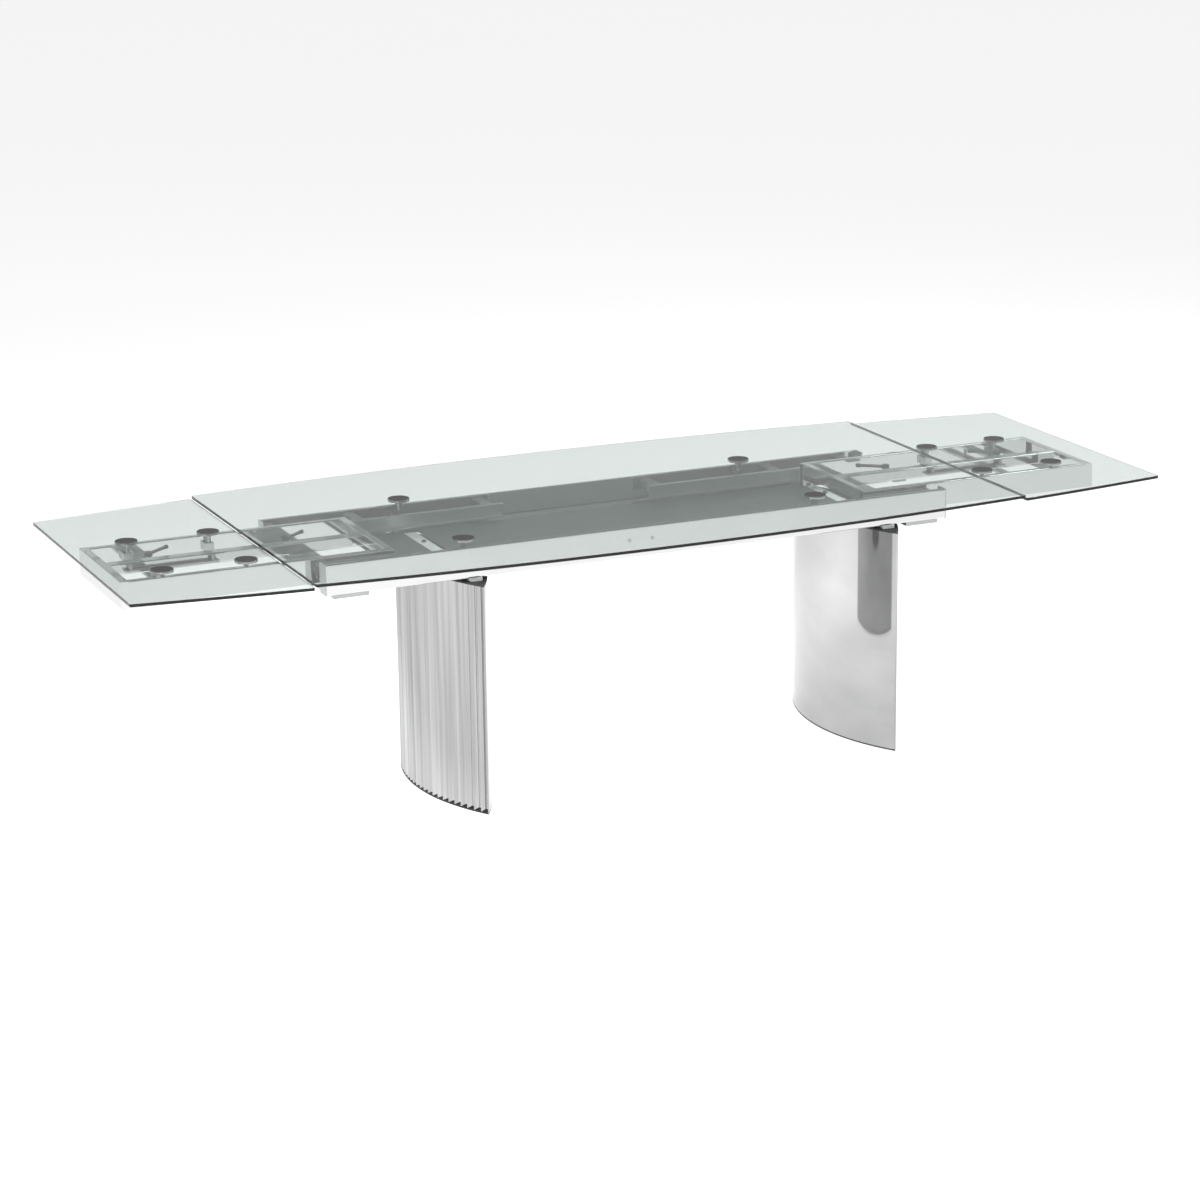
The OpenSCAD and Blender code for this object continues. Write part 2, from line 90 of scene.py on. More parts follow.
class Value:
    """A socket that takes part in Python expressions, each adding a Math node."""

    def __init__(self, tree: bpy.types.NodeTree, socket: bpy.types.NodeSocket) -> None:
        """Wraps one output socket of a node tree."""
        self.tree = tree
        self.socket = socket

    def _math(self, operation: str, first: object, second: object = 0.0) -> "Value":
        """Adds one Math node.

        Args:
            operation: The Math node's operation.
            first: Its first operand, a Value or a number.
            second: Its second operand.

        Returns:
            The node's output.
        """
        node = self.tree.nodes.new("ShaderNodeMath")
        node.operation = operation
        for slot, operand in enumerate((first, second)):
            if isinstance(operand, Value):
                self.tree.links.new(operand.socket, node.inputs[slot])
            else:
                node.inputs[slot].default_value = float(operand)
        return Value(self.tree, node.outputs[0])

    def __add__(self, other: object) -> "Value":
        """Sum."""
        return self._math("ADD", self, other)

    def __sub__(self, other: object) -> "Value":
        """Difference."""
        return self._math("SUBTRACT", self, other)

    def __mul__(self, other: object) -> "Value":
        """Product."""
        return self._math("MULTIPLY", self, other)

    def __rsub__(self, other: object) -> "Value":
        """Difference from a number."""
        return self._math("SUBTRACT", other, self)

    __radd__ = __add__
    __rmul__ = __mul__

    def power(self, exponent: float) -> "Value":
        """This value raised to a power."""
        return self._math("POWER", self, exponent)


class Shader:
    """One material under construction."""

    def __init__(self, name: str) -> None:
        """Starts a material that holds one Principled shader.

        Args:
            name: The material's name.
        """
        self.material = bpy.data.materials.new(name)
        self.material.use_nodes = True
        self.tree = self.material.node_tree
        self.principled = self.tree.nodes["Principled BSDF"]
        self.output = self.tree.nodes["Material Output"]

    def node(self, kind: str, settings: dict[str, object] | None = None, **sockets: object) -> bpy.types.Node:
        """Adds any node.

        Args:
            kind: The node's type.
            settings: Its settings; a ramp's stops are (place, colour) pairs.
            **sockets: A value or a link for each named input, with _ for a space.

        Returns:
            The new node.
        """
        node = self.tree.nodes.new(kind)
        for key, value in (settings or {}).items():
            if key == "stops":
                self.set_stops(node, value)
            else:
                setattr(node, key, value)
        for key, value in sockets.items():
            self.feed(node.inputs[key.replace("_", " ")], value)
        return node

    @staticmethod
    def set_stops(node: bpy.types.Node, stops: Sequence[tuple[float, float]]) -> None:
        """Writes a ramp's stops as grey levels.

        Args:
            node: A ramp node.
            stops: A (place, grey level) pair for each stop.
        """
        elements = node.color_ramp.elements
        while len(elements) < len(stops):
            elements.new(1.0)
        for element, (place, level) in zip(elements, stops):
            element.position = place
            element.color = (level, level, level, 1.0)

    def feed(self, socket: bpy.types.NodeSocket, value: object) -> None:
        """Sets or links one input socket."""
        if isinstance(value, Value):
            self.tree.links.new(value.socket, socket)
        elif isinstance(value, bpy.types.NodeSocket):
            self.tree.links.new(value, socket)
        else:
            socket.default_value = value

    def value(self, node: bpy.types.Node, output: str | int = 0) -> Value:
        """Wraps one output of a node."""
        return Value(self.tree, node.outputs[output])

    def place(self, stretch: tuple[float, float, float] = (1.0, 1.0, 1.0)) -> bpy.types.NodeSocket:
        """Object coordinates in metres, stretched along each axis."""
        coordinates = self.node("ShaderNodeTexCoord").outputs["Object"]
        return self.node("ShaderNodeMapping", Vector=coordinates, Scale=stretch).outputs[0]

    def noise(self, stretch: tuple[float, float, float], detail: float = 2.0) -> Value:
        """Smooth noise whose scale along each axis is in cycles per metre."""
        node = self.node("ShaderNodeTexNoise", Vector=self.place(stretch), Scale=1.0, Detail=detail)
        return self.value(node, "Fac")

    def bump(self, height: Value, distance: float, strength: float = 1.0) -> None:
        """Feeds a height field, in metres once scaled by distance, to the normal."""
        node = self.node("ShaderNodeBump", Height=height, Distance=distance, Strength=strength)
        self.feed(self.principled.inputs["Normal"], node.outputs[0])

    def tint(self, mask: Value, low: Colour, high: Colour) -> None:
        """Mixes two colours into Base Color by a mask.

        Args:
            mask: From 0 for the first colour to 1 for the second.
            low: The first colour.
            high: The second colour.
        """
        node = self.node("ShaderNodeMix", {"data_type": "RGBA"}, Factor=mask)
        node.inputs["A"].default_value = (*low, 1.0)
        node.inputs["B"].default_value = (*high, 1.0)
        self.feed(self.principled.inputs["Base Color"], node.outputs["Result"])

    def set(self, **sockets: object) -> None:
        """Sets or links the Principled shader's own sockets."""
        for key, value in sockets.items():
            self.feed(self.principled.inputs[key.replace("_", " ")], value)


# -------------------------------------------------------------------- finishes


@dataclass(frozen=True)
class MirrorSteel:
    """Mirror-polished stainless steel with faint smears and polishing waves; darker copies paint shade, and
    upright streaks paint reflection stripes.
    """

    name: str = "mirror_steel"
    low: Colour = (0.70, 0.70, 0.70)
    high: Colour = (0.80, 0.80, 0.80)
    # Stretch of the smear noise; stretched upright it paints reflection stripes.
    grain: tuple[float, float, float] = (5.0, 5.0, 9.0)
    roughness: float = 0.035
    smear: float = 0.05
    wave: float = 0.00004

    def make(self) -> bpy.types.Material:
        """Builds the material.

        Returns:
            The finished material.
        """
        shader = Shader(self.name)
        # The smear noise sets colour and roughness; stretched upright with a wide colour range it paints
        # reflection stripes.
        smears_and_painted_stripes = shader.noise(self.grain, 4.0)
        waves = shader.noise((3.0, 3.0, 2.0), 1.0)
        shader.tint(smears_and_painted_stripes, self.low, self.high)
        shader.set(Metallic=1.0, Roughness=smears_and_painted_stripes.power(2.0) * self.smear + self.roughness)
        shader.bump(waves, self.wave * 100.0, 0.05)
        return shader.material


@dataclass(frozen=True)
class SatinSteel:
    """Ground steel, with its grain running along one axis."""

    name: str = "satin_steel"
    low: Colour = (0.40, 0.42, 0.42)
    high: Colour = (0.56, 0.58, 0.58)
    grain: tuple[float, float, float] = (6.0, 900.0, 900.0)
    roughness: float = 0.24

    def make(self) -> bpy.types.Material:
        """Builds the material.

        Returns:
            The finished material.
        """
        shader = Shader(self.name)
        grain = shader.noise(self.grain, 3.0)
        patches = shader.noise((8.0, 8.0, 8.0), 2.0)
        shader.tint(patches, self.low, self.high)
        shader.set(Metallic=1.0, Roughness=grain * 0.16 + self.roughness)
        shader.bump(grain, 0.0002, 0.25)
        return shader.material


@dataclass(frozen=True)
class Paint:
    """Sprayed satin paint with a fine orange peel."""

    name: str
    low: Colour
    high: Colour
    roughness: float = 0.38
    peel: float = 900.0

    def make(self) -> bpy.types.Material:
        """Builds the material.

        Returns:
            The finished material.
        """
        shader = Shader(self.name)
        dust = shader.noise((14.0, 14.0, 14.0), 5.0)
        peel = shader.noise((self.peel,) * 3, 1.0)
        shader.tint(dust, self.low, self.high)
        shader.set(Metallic=0.0, Roughness=dust * 0.18 + self.roughness)
        shader.bump(peel, 0.0002, 0.3)
        return shader.material


@dataclass(frozen=True)
class Plywood:
    """Birch plywood: thin plies stacked along the sheet's thickness."""

    name: str = "core_plywood"
    low: Colour = (0.42, 0.27, 0.14)
    high: Colour = (0.66, 0.48, 0.29)

    def make(self) -> bpy.types.Material:
        """Builds the material.

        Returns:
            The finished material.
        """
        shader = Shader(self.name)
        fibres = shader.noise((60.0, 60.0, 4.0), 5.0)
        shader.tint(fibres, self.low, self.high)
        shader.set(Roughness=fibres * 0.2 + 0.5)
        shader.bump(fibres, 0.0006, 0.3)
        return shader.material


@dataclass(frozen=True)
class ClearGlass:
    """Tempered float glass: clear through its faces and dark through its edges."""

    name: str = "clear_glass"
    absorbs: Colour = (0.10, 0.66, 0.50)
    density: float = 12.0
    wave: float = 0.0003

    def make(self) -> bpy.types.Material:
        """Builds the material; the body colour comes from a volume.

        Returns:
            The finished material.
        """
        shader = Shader(self.name)
        rollers = shader.noise((2.0, 5.0, 1.0), 1.0)
        shader.set(Transmission_Weight=1.0, IOR=1.5, Roughness=rollers * 0.002)
        shader.set(Base_Color=(1.0, 1.0, 1.0, 1.0))
        shader.bump(rollers, self.wave, 0.15)
        volume = shader.node("ShaderNodeVolumeAbsorption", Color=(*self.absorbs, 1.0), Density=self.density)
        shader.tree.links.new(volume.outputs[0], shader.output.inputs["Volume"])
        return shader.material


class Palette:
    """Every finish of the table, made once."""

    def __init__(self) -> None:
        """Builds the materials."""
        self.mirror = MirrorSteel().make()
        # Post steel: a darker copy of the mirror steel, painting shade on the chrome posts.
        self.post = MirrorSteel("post_steel", (0.30, 0.31, 0.31), (0.44, 0.45, 0.45)).make()
        # Column steel: dark upright streaks from 0.22 to 0.64 that paint the reflection stripes of the
        # pleats.
        self.column = MirrorSteel(
            "column_steel", (0.22, 0.22, 0.22), (0.64, 0.64, 0.64), (75.0, 75.0, 1.2)
        ).make()
        # Inner column face: a darker copy of the mirror steel, painting shade.
        self.column_smooth = MirrorSteel(
            "column_steel_smooth", (0.37, 0.37, 0.37), (0.50, 0.50, 0.50)
        ).make()
        self.satin_long = SatinSteel("satin_steel_long").make()
        self.satin_cross = SatinSteel("satin_steel_cross", grain=(900.0, 6.0, 900.0)).make()
        self.satin_up = SatinSteel("satin_steel_upright", grain=(900.0, 900.0, 6.0)).make()
        # Leg mounts: a near-white copy of the satin steel, painting a bright reflection on the strips.
        self.ground = SatinSteel(
            "ground_steel", (0.84, 0.86, 0.85), (0.92, 0.94, 0.93), (900.0, 6.0, 900.0), 0.55
        ).make()
        self.lever_black = Paint("lever_black", (0.010, 0.010, 0.011), (0.022, 0.022, 0.023), 0.3).make()
        self.oxide = Paint("black_oxide", (0.018, 0.018, 0.019), (0.035, 0.034, 0.034), 0.42, 1600.0).make()
        self.tray_grey = Paint("tray_grey", (0.040, 0.054, 0.050), (0.062, 0.078, 0.074), 0.34).make()
        # Black plates; their black also paints the shade between the pleats at the leg's foot and under the
        # apron at its top.
        self.plate_black = Paint("plate_black", (0.012, 0.012, 0.013), (0.03, 0.03, 0.03), 0.45).make()
        self.glide = Paint("glide_plastic", (0.02, 0.02, 0.02), (0.03, 0.03, 0.03), 0.55, 400.0).make()
        self.plywood = Plywood().make()
        self.glass = ClearGlass().make()
        self.pad = ClearGlass("bonding_pad", density=4.0, wave=0.0005).make()


# -------------------------------------------------------------- mesh builders


def make_mesh(
    name: str, points: Array, faces: Sequence[Sequence[int]], smooth: bool = False
) -> bpy.types.Object:
    """Makes an object at the origin from points and faces.

    Args:
        name: The piece's name.
        points: An n by 3 array of places, in metres.
        faces: The vertex numbers of each face.
        smooth: Whether every face is shaded smooth.

    Returns:
        The linked object.
    """
    mesh = bpy.data.meshes.new(name)
    mesh.from_pydata(points.tolist(), [], [tuple(map(int, f)) for f in faces])
    mesh.polygons.foreach_set("use_smooth", [smooth] * len(mesh.polygons))
    mesh.update()
    piece = bpy.data.objects.new(name, mesh)
    bpy.context.scene.collection.objects.link(piece)
    return piece


def grid_faces(rows: int, columns: int, wrap: bool = False, first: int = 0) -> Array:
    """Quads of a grid of vertices that is stored row by row.

    Args:
        rows: Number of vertex rows.
        columns: Number of vertices in a row.
        wrap: Whether each row closes on itself.
        first: Number of the grid's first vertex.

    Returns:
        An array with one quad per line.
    """
    spans = columns if wrap else columns - 1
    r, c = np.meshgrid(np.arange(rows - 1), np.arange(spans), indexing="ij")
    n = (c + 1) % columns
    here, above = r * columns, (r + 1) * columns
    quads = np.stack([here + c, here + n, above + n, above + c], axis=-1)
    return quads.reshape(-1, 4) + first


def rounded_rectangle(width: float, height: float, radius: float, steps: int = 4) -> Array:
    """Outline of a rectangle with round corners, centred, anticlockwise.

    Each corner is a quarter circle about a centre one radius inside both sides.

    Args:
        width: Its full width, in metres.
        height: Its full height.
        radius: The radius of each corner.
        steps: Segments in each quarter circle.

    Returns:
        An n by 2 array of places.
    """
    turn = np.linspace(0.0, math.pi / 2, steps + 1)
    parts = []
    for quarter, (sx, sy) in enumerate(((1, 1), (-1, 1), (-1, -1), (1, -1))):
        angle = turn + quarter * math.pi / 2
        centre = (sx * (width / 2 - radius), sy * (height / 2 - radius))
        arc = np.column_stack([np.cos(angle) * radius + centre[0], np.sin(angle) * radius + centre[1]])
        parts.append(arc)
    return np.concatenate(parts)


def run_along(section: Array, along: Along, start: float, stop: float) -> tuple[Array, Array]:
    """Carries a closed section along a row axis.

    The section's first coordinate is the row's other horizontal axis and its second is Z.

    Args:
        section: An n by 2 array: the place across the axis, then the height.
        along: The row axis that it runs along.
        start: Where it begins on that axis.
        stop: Where it ends.

    Returns:
        The points, two rows of them, and the wall quads.
    """
    rows = []
    for place in (start, stop):
        fixed = np.full(len(section), place)
        if along is Along.LENGTH:
            rows.append(np.column_stack([fixed, section[:, 0], section[:, 1]]))
        else:
            rows.append(np.column_stack([section[:, 0], fixed, section[:, 1]]))
    return np.concatenate(rows), grid_faces(2, len(section), wrap=True)


def outward(piece: bpy.types.Object) -> bpy.types.Object:
    """Turns every face of a closed piece outwards.

    Args:
        piece: A closed piece.

    Returns:
        The same piece.
    """
    cage = bmesh.new()
    cage.from_mesh(piece.data)
    bmesh.ops.recalc_face_normals(cage, faces=cage.faces)
    cage.to_mesh(piece.data)
    cage.free()
    return piece


def join(name: str, pieces: Sequence[bpy.types.Object]) -> bpy.types.Object:
    """Joins loose pieces into one object with one name.

    Args:
        name: The whole's name.
        pieces: The pieces, which are removed.

    Returns:
        The new object.
    """
    points, faces, smooth, count = [], [], [], 0
    for piece in pieces:
        mesh = piece.data
        flat = np.empty(len(mesh.vertices) * 3)
        mesh.vertices.foreach_get("co", flat)
        points.append(flat.reshape(-1, 3))
        faces += [tuple(v + count for v in p.vertices) for p in mesh.polygons]
        smooth += [p.use_smooth for p in mesh.polygons]
        count += len(mesh.vertices)
        bpy.data.objects.remove(piece)
        bpy.data.meshes.remove(mesh)
    whole = make_mesh(name, np.concatenate(points), faces)
    whole.data.polygons.foreach_set("use_smooth", smooth)
    return whole


def tube(name: str, low: Array, high: Array, along: Along, radius: float, wall: float) -> bpy.types.Object:
    """A rectangular tube with round edges that fills a box and is open at both ends.

    Its section is an outer rounded rectangle and an inner one, one wall inside it.

    Args:
        name: The piece's name.
        low: The box's lowest corner.
        high: The box's highest corner.
        along: The row axis that it runs along.
        radius: The rounding of its outer edges.
        wall: Its wall.

    Returns:
        The new object.
    """
    across = 1 if along is Along.LENGTH else 0
    size = high - low
    centre = np.array([(low[across] + high[across]) / 2, (low[2] + high[2]) / 2])
    outer = rounded_rectangle(size[across], size[2], radius) + centre
    inner_radius = max(radius - wall, LEAST_ROUND)
    inner = rounded_rectangle(size[across] - 2 * wall, size[2] - 2 * wall, inner_radius) + centre
    count = len(outer)
    axis = along.value
    out_points, walls = run_along(outer, along, low[axis], high[axis])
    in_points, _ = run_along(inner, along, low[axis], high[axis])
    step = np.arange(count)
    nxt = (step + 1) % count
    ends = [
        np.column_stack([step + o, nxt + o, nxt + o + 2 * count, step + o + 2 * count])
        for o in (0, count)
    ]
    faces = np.concatenate([walls, walls + 2 * count, *ends])
    return outward(make_mesh(name, np.concatenate([out_points, in_points]), faces, smooth=False))


def bar(name: str, section: Array, along: Along, start: float, stop: float) -> bpy.types.Object:
    """A solid bar of any closed section, capped at both ends.

    Args:
        name: The piece's name.
        section: An n by 2 array: the place across the axis, then the height.
        along: The row axis that it runs along.
        start: Where it begins on that axis.
        stop: Where it ends.

    Returns:
        The new object.
    """
    points, walls = run_along(section, along, start, stop)
    count = len(section)
    caps = [tuple(range(count - 1, -1, -1)), tuple(range(count, 2 * count))]
    return outward(make_mesh(name, points, [*walls.tolist(), *caps]))


def lathe(name: str, profile: Array, centre: tuple[float, float], steps: int = 48) -> bpy.types.Object:
    """Turns a profile of (radius, height) about an upright axis.

    A point of the profile at angle a lands at (radius cos a, radius sin a, height).
    The profile starts and ends on the axis, where one vertex closes each pole.

    Args:
        name: The piece's name.
        profile: An n by 2 array of radius and height, from pole to pole.
        centre: The axis, in plan.
        steps: Segments round the axis.

    Returns:
        The new object.
    """
    angle = np.linspace(0.0, 2 * math.pi, steps, endpoint=False)
    ring = profile[1:-1]
    x = np.outer(ring[:, 0], np.cos(angle)) + centre[0]
    y = np.outer(ring[:, 0], np.sin(angle)) + centre[1]
    z = np.repeat(ring[:, 1][:, None], steps, axis=1)
    body = np.stack([x, y, z], axis=-1).reshape(-1, 3)
    poles = np.array([[*centre, profile[0, 1]], [*centre, profile[-1, 1]]])
    walls = grid_faces(len(ring), steps, wrap=True).tolist()
    around = np.arange(steps)
    nxt = (around + 1) % steps
    last = (len(ring) - 1) * steps
    fans = np.concatenate([
        np.column_stack([nxt, around, np.full(steps, len(body))]),
        np.column_stack([around + last, nxt + last, np.full(steps, len(body) + 1)]),
    ]).tolist()
    piece = outward(make_mesh(name, np.concatenate([body, poles]), [*walls, *fans], smooth=True))
    return piece


def crease(piece: bpy.types.Object, degrees: float = 8.0) -> bpy.types.Object:
    """Shades a piece smooth, except across edges that turn by more than an angle.

    Args:
        piece: The piece to shade.
        degrees: The turn above which an edge stays sharp.

    Returns:
        The same piece.
    """
    piece.data.polygons.foreach_set("use_smooth", [True] * len(piece.data.polygons))
    piece.data.set_sharp_from_angle(angle=math.radians(degrees))
    return piece


def dress(piece: bpy.types.Object, material: bpy.types.Material) -> None:
    """Puts one material on a piece or a node."""
    piece.data.materials.clear()
    piece.data.materials.append(material)


def box_of(node: str) -> tuple[Array, Array]:
    """Lowest and highest corners of a node at rest, in metres."""
    low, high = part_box(node)
    return np.array(low), np.array(high)


def stand_for(
    piece: bpy.types.Object, body: str, material: bpy.types.Material, *nodes: str, sharp: float = 8.0
) -> None:
    """Makes a piece ride on a body in place of CAD nodes, with its finish.

    Args:
        piece: The new piece.
        body: The body that it moves with.
        material: Its finish.
        *nodes: The CAD nodes that it stands for.
        sharp: Edges that turn by more than this many degrees are shaded sharp.
    """
    crease(piece, sharp)
    dress(piece, material)
    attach(piece, body)
    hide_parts(*nodes)
    log.info("%s stands for %s on %s", piece.name, ", ".join(nodes), body)


def islands(node: str) -> list[tuple[Array, Array]]:
    """Boxes of the separate solids of a node, found by the vertices that faces share.

    Args:
        node: The node's name.

    Returns:
        One (lowest, highest) pair per solid, sorted by X and then by Y.
    """
    cage = bmesh.new()
    cage.from_mesh(frame["nodes"][node].data)
    bmesh.ops.remove_doubles(cage, verts=cage.verts, dist=1e-6)
    seen: set[int] = set()
    boxes = []
    cage.verts.ensure_lookup_table()
    for start in cage.verts:
        if start.index in seen:
            continue
        stack, group = [start], []
        seen.add(start.index)
        while stack:
            vertex = stack.pop()
            group.append(vertex.co[:])
            for edge in vertex.link_edges:
                other = edge.other_vert(vertex)
                if other.index not in seen:
                    seen.add(other.index)
                    stack.append(other)
        corners = np.array(group)
        boxes.append((corners.min(axis=0), corners.max(axis=0)))
    cage.free()
    return sorted(boxes, key=lambda b: (round(float(b[0][0]), 4), round(float(b[0][1]), 4)))


# ----------------------------------------------------------------- glass parts


@dataclass
class GlassTop:
    """The main glass and its two extensions, with polished pencil edges."""

    palette: Palette
    corner: float = 0.005
    edge_round: float = 0.0007
    edge_steps: int = 3
    side_steps: int = 96
    half_length: float = field(init=False)
    sagitta: float = field(init=False)
    half_width: float = field(init=False)

    def __post_init__(self) -> None:
        """Works the boat shape out of the nodes' boxes."""
        leaf_low, leaf_high = box_of("right_leaf_glass")
        main_low, main_high = box_of("main_glass")
        self.half_length = float(leaf_high[0])
        self.half_width = float(main_high[1])
        seam = float(leaf_low[0])
        drop = self.half_width - float(leaf_high[1])
        self.radius = (seam**2 + drop**2) / (2 * drop)

    def side(self, x: Array) -> Array:
        """Half the width of the top at x: a circle's height above its chord."""
        return np.sqrt(self.radius**2 - x**2) - (self.radius - self.half_width)

    def outline(self, start: float, stop: float) -> Array:
        """Closed outline of one panel, anticlockwise, with quarter-round corners.

        Args:
            start: The X of the panel's low end.
            stop: The X of its high end.

        Returns:
            An n by 2 array of places in plan.
        """
        x = np.linspace(start + self.corner, stop - self.corner, self.side_steps)
        turn = np.linspace(0.0, math.pi / 2, 6)[1:]
        front = np.column_stack([x, -self.side(x)])
        back = np.column_stack([x[::-1], self.side(x[::-1])])
        parts = [front]
        corners = ((x[-1], -1, -math.pi / 2), (x[-1], 1, 0.0), (x[0], 1, math.pi / 2), (x[0], -1, math.pi))
        for number, (cx, sign, first) in enumerate(corners):
            cy = sign * (float(self.side(np.array(cx))) - self.corner)
            angle = first + turn
            arc = np.column_stack([cx + self.corner * np.cos(angle), cy + self.corner * np.sin(angle)])
            parts.append(arc[:-1] if number == 3 else arc)
            if number == 1:
                parts.append(back)
        return np.concatenate(parts)

    def panel(self, node: str, body: str) -> None:
        """Builds one panel: the outline pulled in along its normals round the edge.

        At angle a of the edge round, the pull is r (1 - cos a) and the height r sin a.

        Args:
            node: The glass node that it stands for.
            body: The body that carries it.
        """
        low, high = box_of(node)
        path = self.outline(float(low[0]), float(high[0]))
        ahead = np.roll(path, -1, axis=0) - np.roll(path, 1, axis=0)
        ahead /= np.linalg.norm(ahead, axis=1)[:, None]
        normal = np.column_stack([ahead[:, 1], -ahead[:, 0]])
        angle = np.linspace(0.0, math.pi / 2, self.edge_steps + 1)
        pull = self.edge_round * (1 - np.cos(angle))
        rise = self.edge_round * np.sin(angle)
        pulls = np.concatenate([pull[::-1], pull])
        heights = np.concatenate([low[2] + self.edge_round - rise[::-1], high[2] - self.edge_round + rise])
        rings = path[None] - normal[None] * pulls[:, None, None]
        z = np.repeat(heights[:, None], len(path), axis=1)[..., None]
        points = np.concatenate([rings, z], axis=-1).reshape(-1, 3)
        count = len(path)
        walls = grid_faces(len(pulls), count, wrap=True)
        last = count * (len(pulls) - 1)
        caps = [tuple(range(count - 1, -1, -1)), tuple(range(last, last + count))]
        piece = outward(make_mesh(f"{node}_panel", points, [*walls.tolist(), *caps]))
        piece.visible_shadow = False
        stand_for(piece, body, self.palette.glass, node, sharp=3.0)

    def build(self) -> None:
        """Builds the three panels."""
        self.panel("main_glass", "frame")
        for end in End:
            self.panel(f"{end.word}_leaf_glass", f"{end.word}_leaf_top")


@dataclass
class GlassSupports:
    """Turned posts with cupped discs, and the clear pads that they are bonded with."""

    palette: Palette
    disc_radius: float = 0.031
    disc_height: float = 0.006
    rim: float = 0.0012
    main_stem: float = 0.009
    main_cup: float = 0.0095
    leaf_stem: float = 0.007
    leaf_cup: float = 0.005
    turned_steps: int = 64

    def profile(self, low: float, high: float, stem: float, cup: float) -> Array:
        """Profile of one post: stem, flared cup, then a disc with a rounded rim.

        The flare is a quarter of a cosine from the stem's radius to the cup's mouth.

        Args:
            low: The height of the post's foot.
            high: The height of the disc's top.
            stem: The stem's radius.
            cup: The height of the flare.

        Returns:
            An n by 2 array of radius and height.
        """
        bead = np.linspace(0.0, math.pi / 2, 4)
        disc_low = high - self.disc_height
        flare = np.linspace(0.0, 1.0, 9)
        mouth = self.disc_radius - 0.004
        cup_r = stem + (mouth - stem) * (1 - np.cos(flare * math.pi / 2))
        cup_z = disc_low - cup + cup * 0.9 * np.sin(flare * math.pi / 2)
        rim_low = np.column_stack([
            self.disc_radius - self.rim + self.rim * np.sin(bead),
            disc_low + self.rim - self.rim * np.cos(bead),
        ])
        rim_high = np.column_stack([
            self.disc_radius - self.rim + self.rim * np.cos(bead),
            high - self.rim + self.rim * np.sin(bead),
        ])
        foot = [[0.0, low], [stem, low], [stem, disc_low - cup - 0.0005]]
        return np.concatenate([foot, np.column_stack([cup_r, cup_z]), rim_low, rim_high, [[0.0, high]]])

    def posts(self, node: str, body: str, stem: float, cup: float) -> None:
        """Builds every post of one node.

        Args:
            node: The node that they stand for.
            body: The body that carries them.
            stem: The stem's radius.
            cup: The height of the flare.
        """
        turned = []
        for number, (low, high) in enumerate(islands(node)):
            centre = (float(low[0] + high[0]) / 2, float(low[1] + high[1]) / 2)
            profile = self.profile(float(low[2]), float(high[2]), stem, cup)
            turned.append(lathe(f"{node}_{number}", profile, centre, self.turned_steps))
        # The posts' steel is a darker copy of the mirror steel, painting shade.
        stand_for(join(f"{node}_turned", turned), body, self.palette.post, node)

    def build(self) -> None:
        """Builds the posts and dresses the pads."""
        self.posts("main_posts", "frame", self.main_stem, self.main_cup)
        for end in End:
            node, body = f"{end.word}_leaf_posts", f"{end.word}_leaf_top"
            self.posts(node, body, self.leaf_stem, self.leaf_cup)
        for node in ("main_pads", "left_leaf_pads", "right_leaf_pads"):
            dress(frame["nodes"][node], self.palette.pad)
            frame["nodes"][node].visible_shadow = False


# ------------------------------------------------------------------ main frame


@dataclass
class MainFrame:
    """Aprons, cross members, trays, brackets and slide channels."""

    palette: Palette
    wall: float = 0.003
    bend: float = 0.004
    bend_steps: int = 5

    def apron_section(self, side: int) -> Array:
        """Section of a folded apron: a web with a narrow top and a wide bottom flange.

        Both outer bends are quarter circles of one radius.

        Args:
            side: -1 for the front apron, 1 for the rear one.

        Returns:
            An n by 2 array of Y and height.
        """
        low, high = box_of("front_apron" if side < 0 else "rear_apron")
        outer, inner = (float(low[1]), float(high[1])) if side < 0 else (float(high[1]), float(low[1]))
        z0, z1 = float(low[2]), float(high[2])
        top_inner = outer - side * 0.012
        turn = np.linspace(0.0, math.pi / 2, self.bend_steps)
        r = self.bend
        bottom = np.column_stack([outer - side * (r - r * np.sin(turn)), z0 + r - r * np.cos(turn)])
        top = np.column_stack([outer - side * (r - r * np.cos(turn)), z1 - r + r * np.sin(turn)])
        web = outer - side * self.wall
        rest = [
            [top_inner, z1], [top_inner, z1 - self.wall], [web, z1 - self.wall],
            [web, z0 + 0.002], [inner, z0 + 0.002], [inner, z0],
        ]
        return np.concatenate([bottom, top, rest])

    def aprons(self) -> None:
        """Builds both aprons."""
        for side, node in ((-1, "front_apron"), (1, "rear_apron")):
            low, high = box_of(node)
            section = self.apron_section(side)
            piece = bar(f"{node}_folded", section, Along.LENGTH, float(low[0]), float(high[0]))
            stand_for(piece, "frame", self.palette.mirror, node)

    def cross_members(self) -> None:
        """Builds the end beams and the leg mounts as round-edged flat bars."""
        # The leg mounts get the near-white satin copy, a painted highlight.
        for node, finish in (("end_beams", self.palette.satin_cross), ("leg_mounts", self.palette.ground)):
            bars = []
            for number, (low, high) in enumerate(islands(node)):
                size, middle = high - low, (high + low) / 2
                section = rounded_rectangle(size[0], size[2], 0.0015) + middle[[0, 2]]
                bars.append(bar(f"{node}_{number}", section, Along.WIDTH, float(low[1]), float(high[1])))
            stand_for(join(f"{node}_bars", bars), "frame", finish, node)

    def build(self) -> None:
        """Builds the frame's pieces and dresses the rest of its nodes."""
        self.aprons()
        self.cross_members()
        p = self.palette
        finishes = {
            "post_brackets": p.mirror, "post_bolts": p.oxide, "apron_screws": p.satin_up,
            "apron_end_caps": p.satin_up, "bottom_trays": p.tray_grey, "mount_bolts": p.oxide,
            "front_fixed_runners": p.satin_long, "rear_fixed_runners": p.satin_long,
            "runner_blocks": p.satin_long,
        }
        for node, finish in finishes.items():
            dress(frame["nodes"][node], finish)


# ------------------------------------------------------------------------ legs


